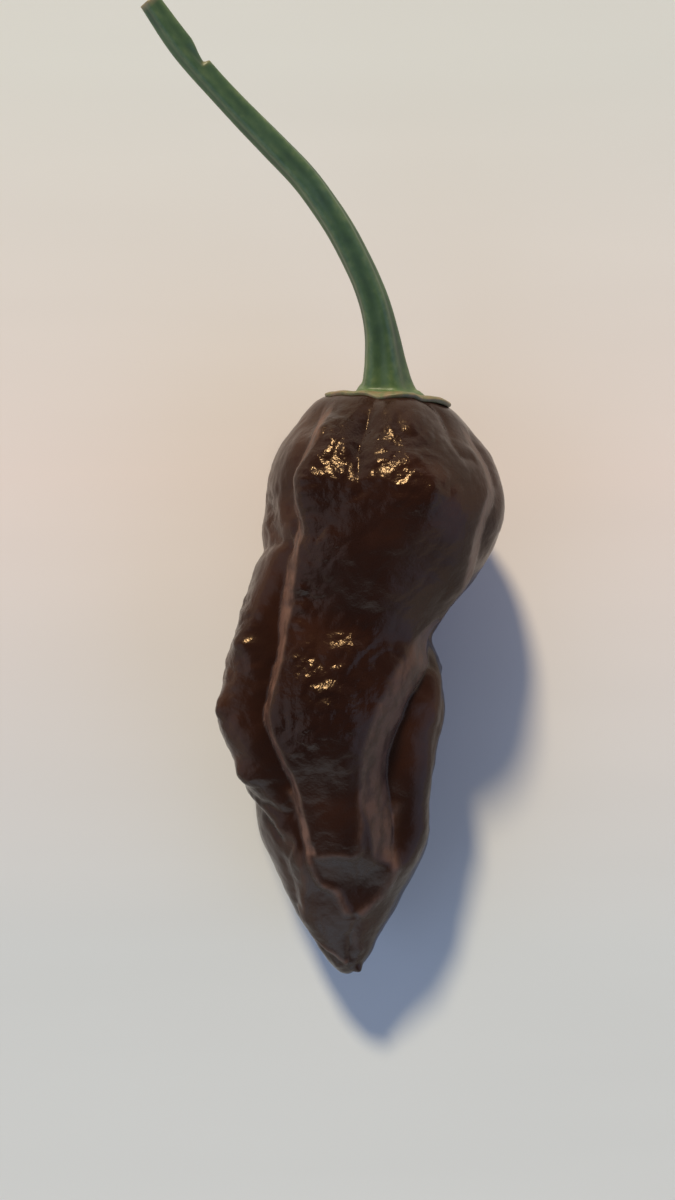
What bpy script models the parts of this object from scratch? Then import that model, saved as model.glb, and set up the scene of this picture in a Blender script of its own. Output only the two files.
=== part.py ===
"""A ripe chocolate-brown chilli pepper lying on its side: the pod, its calyx and its stem.

The script works in millimetres and scales to metres when it makes each mesh. +Z is up and +Y runs
from the pod's tip towards its stem. The pepper is shaped with the middle of its crown near the
origin, and then all of it is moved so that the origin is on the surface it lies on, under the middle
of its box.

The pod is a smooth body, called the envelope here, whose skin is drawn in along folds and pushed out
at swellings. A place on it is (t, angle): t runs from 0 under the calyx to 1 at the tip, and the
angle runs round the body in degrees, 0 towards +X, 90 on top, 180 towards -X and 270 underneath.
"""

import bmesh
import bpy
import numpy as np

MM = 0.001
COLLECTION = "chilli_pepper"

# Driving sizes, in millimetres
POD_LENGTH = 63.0
POD_WIDTH = 25.0
POD_HEIGHT = 25.0
FOLD_DEPTH = 1.0  # a share: 1 gives every fold the depth stated for it below
CALYX_DIAMETER = 12.6
CALYX_THICKNESS = 0.9
CALYX_TOOTH = 0.5
STEM_REACH = 1.0  # a share: 1 gives the stem the route stated below
STEM_DIAMETER = 2.7
STEM_FOOT_DIAMETER = 7.2
CLEARANCE = 0.3  # between neighbouring pieces
PRESSED_FLAT = 0.3  # how far the skin underneath is flattened where the pod lies on it

# How finely the pieces are cut up
POD_SEGMENTS = 72
POD_RINGS = 50
CALYX_SEGMENTS = 40
CALYX_RINGS = 12
STEM_SIDES = 4  # the curve's bevel resolution
STEM_STEPS = 3  # between two points of its route

# The envelope's section, as (t, share): shares of POD_WIDTH sideways and of POD_HEIGHT upwards
HALF_WIDTH = (
    (0.00, 0.500), (0.20, 0.506), (0.27, 0.506), (0.31, 0.492), (0.35, 0.462), (0.40, 0.440),
    (0.45, 0.480), (0.53, 0.474), (0.60, 0.424), (0.68, 0.384), (0.75, 0.372), (0.80, 0.326),
    (0.85, 0.268), (0.90, 0.208), (0.94, 0.144), (1.00, 0.078),
)
MIDDLE_X = (
    (0.00, 0.205), (0.05, 0.215), (0.10, 0.210), (0.20, 0.205), (0.26, 0.164), (0.31, 0.110),
    (0.36, 0.040), (0.40, 0.004), (0.46, 0.008), (0.56, -0.036), (0.62, -0.026), (0.70, 0.004),
    (0.76, 0.028), (0.85, 0.032), (0.93, 0.030), (1.00, 0.036),
)
HALF_HEIGHT = (
    (0.00, 0.500), (0.20, 0.504), (0.30, 0.450), (0.38, 0.400), (0.46, 0.415), (0.54, 0.425),
    (0.62, 0.395), (0.70, 0.350), (0.80, 0.285), (0.88, 0.200), (0.94, 0.130), (1.00, 0.075),
)
MIDDLE_Z = (
    (0.00, 0.520), (0.20, 0.500), (0.38, 0.455), (0.54, 0.425), (0.70, 0.380), (0.85, 0.335),
    (1.00, 0.310),
)
SHOULDER_END = 0.20  # the crown rounds over into the full section by this t
SHOULDER_POWER = 2.45
TIP_START = 0.95  # and the tip starts to close here
TIP_POWER = 2.0
LEAN = 0.09  # rise per unit across: the crown's -X side reaches further along +Y
PITCH = 0.12  # rise per unit up: the crown faces a little upwards
LEAN_END = 0.35  # both have faded out by this t

# The folds. Each path is (t, angle, depth in mm, width of its wall in mm). The wall is the side that
# climbs back to the full height of the skin, and "wall" names the hand it lies on for someone who
# walks along the path and looks at the skin from outside. The other side climbs back by `bank` of
# the depth over `bank_width`, and then by the rest over `shelf`.
FOLDS = (
    {   # the seam down the left of the middle lobe
        "path": (
            (0.010, 158, 0.2, 1.6), (0.040, 147, 0.7, 1.8), (0.077, 139, 1.0, 2.0),
            (0.130, 143, 1.3, 2.0), (0.180, 143, 1.5, 2.0), (0.223, 138, 1.6, 2.0),
            (0.260, 140, 1.6, 2.0), (0.300, 138, 1.7, 2.0), (0.376, 131, 1.8, 2.0),
            (0.424, 128, 1.9, 2.0), (0.508, 130, 2.0, 2.0), (0.590, 124, 2.0, 2.0),
            (0.677, 119, 1.9, 2.0), (0.740, 118, 1.7, 2.0), (0.780, 115, 1.0, 2.0),
        ),
        "wall": "left", "bank": 0.35, "bank_width": 1.6, "shelf": 9.0,
    },
    {   # the foot of the middle lobe's long wall on the right
        "path": (
            (0.020, 15, 0.2, 1.2), (0.058, 23, 0.8, 1.4), (0.110, 24, 1.0, 1.5),
            (0.152, 28, 1.1, 1.5), (0.200, 37, 1.3, 1.6), (0.247, 33, 1.4, 1.7),
            (0.280, 26, 1.5, 2.0), (0.320, 11, 1.6, 2.4), (0.380, 6, 1.8, 2.8),
            (0.420, 15, 2.3, 3.0), (0.460, 31, 2.8, 3.2), (0.506, 41, 3.3, 3.4),
            (0.612, 45, 3.5, 3.4), (0.690, 43, 3.4, 3.2), (0.750, 47, 2.8, 2.8),
            (0.795, 50, 1.4, 2.2),
        ),
        "wall": "right", "bank": 0.30, "bank_width": 2.6, "shelf": 8.0,
    },
    {   # across the left lobe, under its upper swelling
        "path": (
            (0.234, 138, 0.6, 1.6), (0.239, 153, 1.2, 1.8), (0.248, 172, 1.4, 2.0),
            (0.260, 190, 1.3, 2.2), (0.268, 212, 1.0, 2.2), (0.275, 232, 0.4, 2.2),
        ),
        "wall": "right", "bank": 0.6, "bank_width": 2.0, "shelf": 4.5,
    },
    {   # across the left lobe again, nearer the tip
        "path": (
            (0.690, 192, 0.5, 1.4), (0.690, 172, 1.0, 1.4), (0.698, 156, 1.2, 1.4),
            (0.716, 146, 1.2, 1.4), (0.738, 136, 1.1, 1.4), (0.750, 124, 0.7, 1.4),
        ),
        "wall": "left", "bank": 0.5, "bank_width": 1.6, "shelf": 5.0,
    },
    {   # where the middle lobe ends, above a pit
        "path": (
            (0.756, 116, 0.8, 1.6), (0.760, 104, 1.5, 1.6), (0.763, 92, 1.8, 1.6),
            (0.771, 80, 1.7, 1.6), (0.783, 68, 1.4, 1.6), (0.795, 56, 0.8, 1.6),
        ),
        "wall": "left", "bank": 0.25, "bank_width": 1.6, "shelf": 5.5,
    },
    {   # the pit's left wall
        "path": (
            (0.758, 117, 0.4, 1.4), (0.790, 114, 0.9, 1.4), (0.824, 112, 1.0, 1.4),
            (0.853, 101, 1.0, 1.4), (0.864, 91, 0.9, 1.4), (0.886, 83, 0.5, 1.4),
        ),
        "wall": "right", "bank": 0.5, "bank_width": 1.6, "shelf": 3.0,
    },
    {   # the pit's right wall
        "path": (
            (0.780, 48, 0.4, 1.4), (0.806, 49, 0.9, 1.4), (0.828, 54, 1.0, 1.4),
            (0.850, 62, 1.0, 1.4), (0.864, 74, 0.8, 1.4), (0.886, 83, 0.5, 1.4),
        ),
        "wall": "left", "bank": 0.5, "bank_width": 1.6, "shelf": 3.0,
    },
    {   # down the left of the tip
        "path": (
            (0.763, 132, 0.4, 1.6), (0.829, 131, 0.7, 1.6), (0.880, 140, 0.7, 1.4),
            (0.935, 138, 0.6, 1.2), (0.960, 112, 0.4, 1.0), (0.978, 86, 0.2, 1.0),
        ),
        "wall": "left", "bank": 0.8, "bank_width": 1.6, "shelf": 4.0,
    },
    {   # round the waist on the right, between the shoulder and the lower lobe
        "path": (
            (0.396, 12, 0.5, 2.0), (0.406, -4, 1.1, 2.0), (0.402, -26, 1.2, 2.4),
            (0.390, -50, 0.8, 2.6), (0.380, -70, 0.2, 2.6),
        ),
        "wall": "right", "bank": 0.9, "bank_width": 2.0, "shelf": 4.0,
    },
    {   # underneath, left of the middle
        "path": (
            (0.050, 225, 0.3, 2.6), (0.200, 232, 1.2, 2.8), (0.400, 236, 1.3, 2.8),
            (0.600, 232, 1.3, 2.6), (0.800, 236, 0.9, 2.2), (0.920, 230, 0.3, 1.6),
        ),
        "wall": "right", "bank": 0.7, "bank_width": 2.8, "shelf": 6.0,
    },
    {   # underneath, right of the middle
        "path": (
            (0.060, 300, 0.3, 2.6), (0.220, 304, 1.4, 2.8), (0.420, 300, 1.3, 2.8),
            (0.600, 306, 1.4, 2.6), (0.780, 302, 1.0, 2.2), (0.900, 310, 0.3, 1.6),
        ),
        "wall": "left", "bank": 0.7, "bank_width": 2.8, "shelf": 6.0,
    },
)
FOLD_SAMPLES = 90  # along each path

# The swellings and hollows, as (t, angle, height in mm, length in mm, breadth in mm)
SWELLINGS = (
    (0.16, 176, 0.5, 5.0, 5.0),
    (0.33, 168, 0.3, 6.0, 5.0),
    (0.51, 95, 0.7, 5.5, 5.0),
    (0.39, 95, -0.6, 5.0, 6.0),
    (0.55, 172, 0.4, 8.0, 6.0),
    (0.60, 10, 0.4, 8.0, 5.0),
    (0.26, 5, -0.3, 5.0, 5.0),
)

# The stem's route from its foot, in mm, square to the crown it grows from: across towards +X, out
# from the crown, and up. Its first step is straight out, so that the foot seats flat.
STEM_ROUTE = (
    (0.0, 0.0, 0.0), (-0.1, 1.0, 0.0), (-0.2, 2.0, 0.2), (-0.6, 4.1, 0.9), (-1.2, 6.7, 2.0),
    (-2.1, 9.3, 3.1), (-3.3, 11.7, 4.0), (-4.7, 13.9, 4.9), (-6.2, 16.0, 5.8), (-7.9, 18.0, 6.7),
    (-10.4, 20.5, 8.1), (-13.5, 22.9, 9.4), (-16.6, 25.2, 10.8), (-19.4, 27.4, 12.0),
    (-21.3, 29.0, 12.8), (-23.1, 30.7, 13.6), (-25.5, 33.3, 14.8),
)
# Its thickness, as (share of the route, share of STEM_DIAMETER)
STEM_TAPER = (
    (0.00, 2.15), (0.05, 1.85), (0.085, 1.61), (0.115, 1.46), (0.16, 1.28), (0.25, 1.10),
    (0.40, 1.01), (0.65, 0.92), (0.80, 0.76), (0.88, 0.82), (1.00, 0.72),
)
STEM_FLARE_END = 0.05  # the flare of the foot has run into the stem by this share of the route


def through(knots, at):
    """Values at `at` of a smooth curve through the (place, value, ...) knots."""
    places, *columns = np.array(knots, float).T
    at = np.clip(np.asarray(at, float), places[0], places[-1])
    i = np.clip(np.searchsorted(places, at, side="right") - 1, 0, len(places) - 2)
    step = places[i + 1] - places[i]
    u = (at - places[i]) / step
    results = []
    for values in columns:
        slopes = np.gradient(values, places)
        results.append(
            values[i] * (1 + 2 * u) * (1 - u) ** 2
            + slopes[i] * step * u * (1 - u) ** 2
            + values[i + 1] * u**2 * (3 - 2 * u)
            - slopes[i + 1] * step * u**2 * (1 - u)
        )
    return results[0] if len(results) == 1 else results


def smoothstep(low, high, value):
    u = np.clip((value - low) / (high - low), 0, 1)
    return u * u * (3 - 2 * u)


def quarter_round(share):
    """Climbs steeply from 0 and rounds off level at 1, like a quarter of a circle."""
    share = np.clip(share, 0, 1)
    return np.sqrt(1 - (1 - share) ** 2)


def closing(t):
    """The size of the section at t as a share of its full size, less than 1 at the two ends."""
    crown = np.clip(1 - t / SHOULDER_END, 0, 1)
    tip = np.clip((t - TIP_START) / (1 - TIP_START), 0, 1)
    at_crown = (1 - crown**SHOULDER_POWER) ** (1 / SHOULDER_POWER)
    return at_crown * (1 - tip**TIP_POWER) ** (1 / TIP_POWER)


def crown_place(radius):
    """The t at which the crown is `radius` mm across from its middle."""
    share = radius / (POD_WIDTH * HALF_WIDTH[0][1])
    return SHOULDER_END * (1 - (1 - share**SHOULDER_POWER) ** (1 / SHOULDER_POWER))


def envelope(t, angle):
    a = np.radians(angle)
    across = POD_WIDTH * through(HALF_WIDTH, t) * closing(t) * np.cos(a)
    up = POD_HEIGHT * through(HALF_HEIGHT, t) * closing(t) * np.sin(a)
    tilted = 1 - smoothstep(0, LEAN_END, t)
    along = -POD_LENGTH * t - tilted * (LEAN * across + PITCH * up)
    x = POD_WIDTH * through(MIDDLE_X, t) + across
    z = POD_HEIGHT * through(MIDDLE_Z, t) + up
    return np.stack([x, along, z], axis=-1)


def outwards(t, angle):
    """Unit normals of the envelope."""
    small_t, small_angle = 1e-4, 0.05
    t = np.clip(t, 3 * small_t, 1 - 3 * small_t)
    along = envelope(t + small_t, angle) - envelope(t - small_t, angle)
    around = envelope(t, angle + small_angle) - envelope(t, angle - small_angle)
    normals = np.cross(around, along)
    return normals / np.linalg.norm(normals, axis=-1, keepdims=True)


def fold_relief(fold, places):
    """How far, in mm, one fold draws in the skin at the envelope points `places`."""
    path = np.array(fold["path"], float)
    shares = np.linspace(0, 1, len(path))
    along_path = np.linspace(0, 1, FOLD_SAMPLES)
    t, angle, depth, wall = through(np.column_stack([shares, path]), along_path)
    line = envelope(t, angle)
    tangent = np.gradient(line, axis=0)
    tangent /= np.linalg.norm(tangent, axis=-1, keepdims=True)
    to_left = np.cross(outwards(t, angle), tangent)

    nearest = np.argmin(((places[:, None] - line[None]) ** 2).sum(-1), axis=1)
    offset = places - line[nearest]
    offset -= (offset * tangent[nearest]).sum(-1, keepdims=True) * tangent[nearest]
    distance = np.linalg.norm(offset, axis=-1)
    on_left = (offset * to_left[nearest]).sum(-1) > 0
    on_wall = on_left if fold["wall"] == "left" else ~on_left

    bank = fold["bank"]
    wall_side = 1 - quarter_round(distance / wall[nearest])
    bank_side = bank * (1 - quarter_round(distance / fold["bank_width"]))
    bank_side += (1 - bank) * (1 - smoothstep(0, fold["shelf"], distance))
    ends = np.minimum(smoothstep(0, 0.06, along_path), smoothstep(0, 0.06, 1 - along_path))
    return (depth * ends)[nearest] * np.where(on_wall, wall_side, bank_side)


def relief(t, angle):
    """How far, in mm, the skin stands out from the envelope."""
    places = envelope(t, angle)
    height = np.zeros(len(places))
    for fold in FOLDS:
        height -= FOLD_DEPTH * fold_relief(fold, places)
    for at, towards, rise, length, breadth in SWELLINGS:
        centre = envelope(np.array([at]), np.array([towards]))
        along = (places[:, 1] - centre[:, 1]) / length
        around = np.linalg.norm((places - centre)[:, [0, 2]], axis=-1) / breadth
        height += rise * np.exp(-(along**2 + around**2))
    return height


def skin(t, angle, lift=0.0):
    """Points of the pod's skin, or of a surface `lift` mm outside it."""
    t, angle, lift = np.broadcast_arrays(np.asarray(t, float), angle, lift)
    shape = t.shape
    t, angle, lift = t.ravel(), angle.ravel(), lift.ravel()
    out = relief(t, angle) + lift
    points = envelope(t, angle) + out[:, None] * outwards(t, angle)
    return points.reshape(*shape, 3)


def fresh_material(name, colour, roughness):
    material = bpy.data.materials.new(name)
    material.use_nodes = True
    shader = material.node_tree.nodes["Principled BSDF"]
    shader.inputs["Base Color"].default_value = (*colour, 1)
    shader.inputs["Roughness"].default_value = roughness
    material.diffuse_color = (*colour, 1)
    return material


def place(name, mesh, material, collection):
    piece = bpy.data.objects.new(name, mesh)
    collection.objects.link(piece)
    mesh.materials.clear()
    mesh.materials.append(material)
    mesh.shade_smooth()
    return piece


def face_outwards(bm):
    if bm.calc_volume(signed=True) < 0:
        bmesh.ops.reverse_faces(bm, faces=bm.faces)


def moved_sphere(name, segments, rings, shape):
    """A UV sphere's mesh whose vertices `shape` moves, given their polar angle and their turn."""
    bm = bmesh.new()
    bmesh.ops.create_uvsphere(bm, u_segments=segments, v_segments=rings, radius=1)
    ball = np.array([vertex.co for vertex in bm.verts])
    polar = np.arccos(np.clip(ball[:, 2], -1, 1))
    turn = np.degrees(np.arctan2(ball[:, 1], ball[:, 0]))
    for vertex, point in zip(bm.verts, shape(polar, turn) * MM):
        vertex.co = point
    face_outwards(bm)
    mesh = bpy.data.meshes.new(name)
    bm.to_mesh(mesh)
    bm.free()
    return mesh


def pod_shape(polar, turn):
    points = skin((1 - np.cos(polar)) / 2, turn)
    points[:, 2] = np.maximum(points[:, 2], points[:, 2].min() + PRESSED_FLAT)
    return points


def calyx_radius(turn):
    """The rim's distance from the middle, longest at the five teeth."""
    tooth = (0.5 + 0.5 * np.cos(np.radians(5 * (turn - 18)))) ** 2
    return CALYX_DIAMETER / 2 - CALYX_TOOTH * (1 - tooth)


def calyx_shape(polar, turn):
    """A thin saucer on the crown: the sphere's upper half is its face, the lower half its back."""
    out = np.sin(polar) ** 0.8
    side = np.sign(np.cos(polar)) * np.abs(np.cos(polar)) ** 0.35
    lift = CLEARANCE + CALYX_THICKNESS * (0.5 + 0.5 * side)
    return skin(crown_place(calyx_radius(turn) * out), turn, lift)


def crown_frame():
    """Unit vectors at the middle of the crown: across towards +X, straight out of it, and up."""
    out = np.array([LEAN, 1.0, PITCH]) / np.linalg.norm([LEAN, 1.0, PITCH])
    across = np.array([1.0, 0.0, 0.0]) - out[0] * out
    across /= np.linalg.norm(across)
    return across, out, np.cross(across, out)


def stem_curve(name):
    """A tube along the stem's route, flared at the foot, which seats on the calyx."""
    across, out, up = crown_frame()
    seat = skin(np.array([0.0]), np.array([90.0]), CALYX_THICKNESS + 2 * CLEARANCE)[0]
    route = seat + STEM_REACH * (np.array(STEM_ROUTE) @ np.array([across, out, up]))
    shares = np.linspace(0, 1, len(route))
    fine = np.linspace(0, 1, (len(route) - 1) * STEM_STEPS + 1)
    places = np.column_stack(through(np.column_stack([shares, route]), fine))
    first_step = np.linalg.norm(places[1] - places[0])
    places[1] = places[0] + first_step * out
    steps = np.linalg.norm(np.diff(places, axis=0), axis=-1)
    run = np.concatenate([[0], np.cumsum(steps)]) / steps.sum()
    thickness = STEM_DIAMETER * through(STEM_TAPER, run)
    flare = (1 - smoothstep(0, STEM_FLARE_END, run)) ** 2
    thickness += flare * (STEM_FOOT_DIAMETER - thickness[0])

    curve = bpy.data.curves.new(name, "CURVE")
    curve.dimensions = "3D"
    curve.bevel_depth = 1 * MM
    curve.bevel_resolution = STEM_SIDES
    curve.use_fill_caps = True
    spline = curve.splines.new("POLY")
    spline.points.add(len(places) - 1)
    for point, spot, width in zip(spline.points, places, thickness):
        point.co = (*(spot * MM), 1)
        point.radius = width / 2
    return curve


def curve_mesh(name, curve):
    """The curve's tube as one closed mesh, its caps welded on."""
    tube = bpy.data.objects.new(name + "_route", curve)
    bpy.context.scene.collection.objects.link(tube)
    bpy.context.view_layer.update()
    mesh = bpy.data.meshes.new_from_object(tube.evaluated_get(bpy.context.evaluated_depsgraph_get()))
    bpy.data.objects.remove(tube)
    mesh.name = name
    bm = bmesh.new()
    bm.from_mesh(mesh)
    bmesh.ops.remove_doubles(bm, verts=bm.verts, dist=0.01 * MM)
    face_outwards(bm)
    bm.to_mesh(mesh)
    bm.free()
    return mesh


def stand_on_origin(pieces):
    """Moves the meshes so that the origin is under the middle of their box, at its lowest point."""
    corners = np.array([vertex.co for piece in pieces for vertex in piece.data.vertices])
    low, high = corners.min(axis=0), corners.max(axis=0)
    under = np.array([(low[0] + high[0]) / 2, (low[1] + high[1]) / 2, low[2]])
    for piece in pieces:
        for vertex in piece.data.vertices:
            vertex.co = np.array(vertex.co) - under


def build():
    for leftover in list(bpy.data.objects):
        bpy.data.objects.remove(leftover)
    collection = bpy.data.collections.new(COLLECTION)
    bpy.context.scene.collection.children.link(collection)

    pod_skin = fresh_material("pod_skin", (0.030, 0.011, 0.007), 0.22)
    calyx_green = fresh_material("calyx_green", (0.13, 0.12, 0.05), 0.55)
    stem_green = fresh_material("stem_green", (0.05, 0.10, 0.035), 0.5)

    pod = place("pod", moved_sphere("pod", POD_SEGMENTS, POD_RINGS, pod_shape), pod_skin, collection)
    calyx_mesh = moved_sphere("calyx", CALYX_SEGMENTS, CALYX_RINGS, calyx_shape)
    calyx = place("calyx", calyx_mesh, calyx_green, collection)
    stem = place("stem", curve_mesh("stem", stem_curve("stem")), stem_green, collection)
    stand_on_origin([pod, calyx, stem])


build()
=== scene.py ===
"""A ripe chocolate-brown chilli pepper on a pale table: the pod's wrinkled skin, the calyx, the stem.

The pieces are shaped in millimetres, with the middle of the pod's crown near the origin, +Z up and
+Y from the pod's tip towards its stem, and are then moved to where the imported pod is. A place on the
pod is (t, angle): t runs from 0 under the calyx to 1 at the tip, and the angle runs round the body
in degrees, 0 towards +X, 90 on top, 180 towards -X and 270 underneath.
"""

import math

import bpy
import numpy as np
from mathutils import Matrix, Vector


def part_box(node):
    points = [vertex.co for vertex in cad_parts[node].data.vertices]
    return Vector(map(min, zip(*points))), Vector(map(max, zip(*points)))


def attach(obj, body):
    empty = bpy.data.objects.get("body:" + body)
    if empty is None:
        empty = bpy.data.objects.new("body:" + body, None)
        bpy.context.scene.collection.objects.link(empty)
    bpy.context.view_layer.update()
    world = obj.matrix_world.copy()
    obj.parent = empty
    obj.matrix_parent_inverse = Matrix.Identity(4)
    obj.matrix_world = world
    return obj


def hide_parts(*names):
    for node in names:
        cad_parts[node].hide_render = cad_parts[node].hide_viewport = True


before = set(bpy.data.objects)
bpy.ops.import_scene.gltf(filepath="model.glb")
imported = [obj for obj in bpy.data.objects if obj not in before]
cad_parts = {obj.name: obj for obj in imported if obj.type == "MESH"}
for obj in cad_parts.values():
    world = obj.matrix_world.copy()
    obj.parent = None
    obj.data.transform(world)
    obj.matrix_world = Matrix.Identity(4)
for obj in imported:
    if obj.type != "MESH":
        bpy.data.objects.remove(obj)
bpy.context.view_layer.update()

MM = 0.001

# Driving sizes, in millimetres
POD_LENGTH = 63.0
POD_WIDTH = 25.0
POD_HEIGHT = 25.0
CALYX_DIAMETER = 12.7
STEM_DIAMETER = 2.7
STEM_FOOT_DIAMETER = 8.4
PRESSED_FLAT = 0.3  # how much of the skin's lowest millimetre is flat on the table

# How finely the pieces are cut up
POD_SEGMENTS = 336
POD_RINGS = 294
CALYX_SEGMENTS = 240
CALYX_RINGS = 48
STEM_SEGMENTS = 64
STEM_RINGS = 300
ROUGH_SEGMENTS = 72  # of the pod where only its box is wanted
ROUGH_RINGS = 60

# The envelope's section, as (t, share): shares of POD_WIDTH sideways and of POD_HEIGHT upwards
HALF_WIDTH = (
    (0.00, 0.500), (0.20, 0.506), (0.27, 0.506), (0.31, 0.492), (0.35, 0.462), (0.40, 0.440),
    (0.45, 0.480), (0.53, 0.474), (0.60, 0.424), (0.68, 0.384), (0.75, 0.372), (0.80, 0.326),
    (0.85, 0.268), (0.90, 0.208), (0.94, 0.144), (1.00, 0.078),
)
MIDDLE_X = (
    (0.00, 0.205), (0.05, 0.215), (0.10, 0.210), (0.20, 0.205), (0.26, 0.164), (0.31, 0.110),
    (0.36, 0.040), (0.40, 0.004), (0.46, 0.008), (0.56, -0.036), (0.62, -0.026), (0.70, 0.004),
    (0.76, 0.028), (0.85, 0.032), (0.93, 0.030), (1.00, 0.036),
)
HALF_HEIGHT = (
    (0.00, 0.500), (0.20, 0.504), (0.30, 0.450), (0.38, 0.400), (0.46, 0.415), (0.54, 0.425),
    (0.62, 0.395), (0.70, 0.350), (0.80, 0.285), (0.88, 0.200), (0.94, 0.130), (1.00, 0.075),
)
MIDDLE_Z = (
    (0.00, 0.520), (0.20, 0.500), (0.38, 0.455), (0.54, 0.425), (0.70, 0.380), (0.85, 0.335),
    (1.00, 0.310),
)
# The shoulder closes over the crown before t is SHOULDER_END, and the tip after TIP_START. A higher
# power closes them more squarely.
SHOULDER_END = 0.20
SHOULDER_POWER = 2.45
TIP_START = 0.95
TIP_POWER = 2.0
# The crown's slope towards +X and towards +Z, which fades out by LEAN_END
LEAN = 0.09
PITCH = 0.12
LEAN_END = 0.35

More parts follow.
